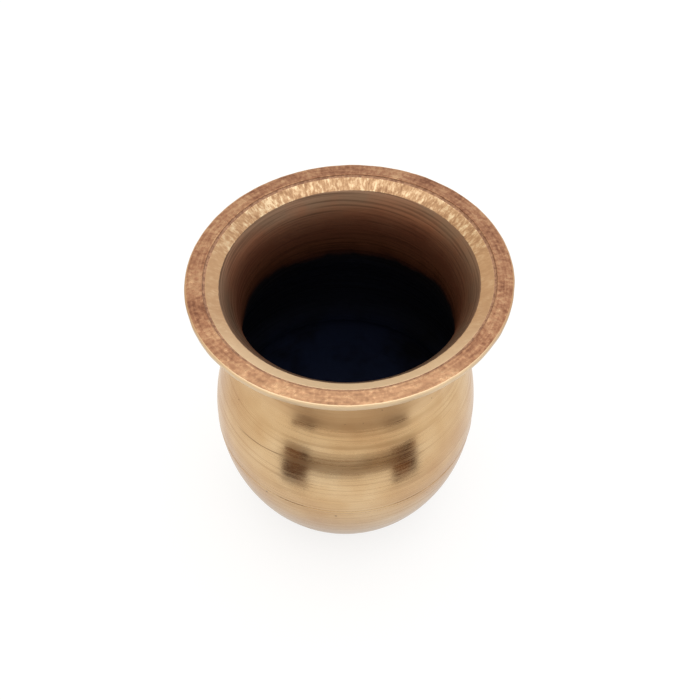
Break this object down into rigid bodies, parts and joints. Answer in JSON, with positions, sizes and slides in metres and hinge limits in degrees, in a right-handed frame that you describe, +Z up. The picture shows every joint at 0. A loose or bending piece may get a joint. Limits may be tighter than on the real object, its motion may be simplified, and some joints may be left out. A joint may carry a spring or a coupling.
{
  "type": "lota",
  "caption": "Small round copper water pot with a full belly, a short neck and a wide flared mouth with a thick turned rim.",
  "frame": {"origin": "middle of the base, on the surface that the pot stands on", "axes": "+Z up along the pot's axis of turning; X and Y are alike"},
  "size_m": [0.08, 0.08, 0.091],
  "materials": {
    "spun_copper": "spun and polished bare copper, dark fire scale inside",
    "turned_copper": "lathe-turned bare copper, slightly tarnished",
    "braze_filler": "filed brazing filler"
  },
  "bodies": {
    "root": {"lower_bowl": "spun_copper", "upper_body": "spun_copper", "rim_ring": "turned_copper", "belly_braze": "braze_filler", "rim_braze": "braze_filler"}
  },
  "joints": []
}
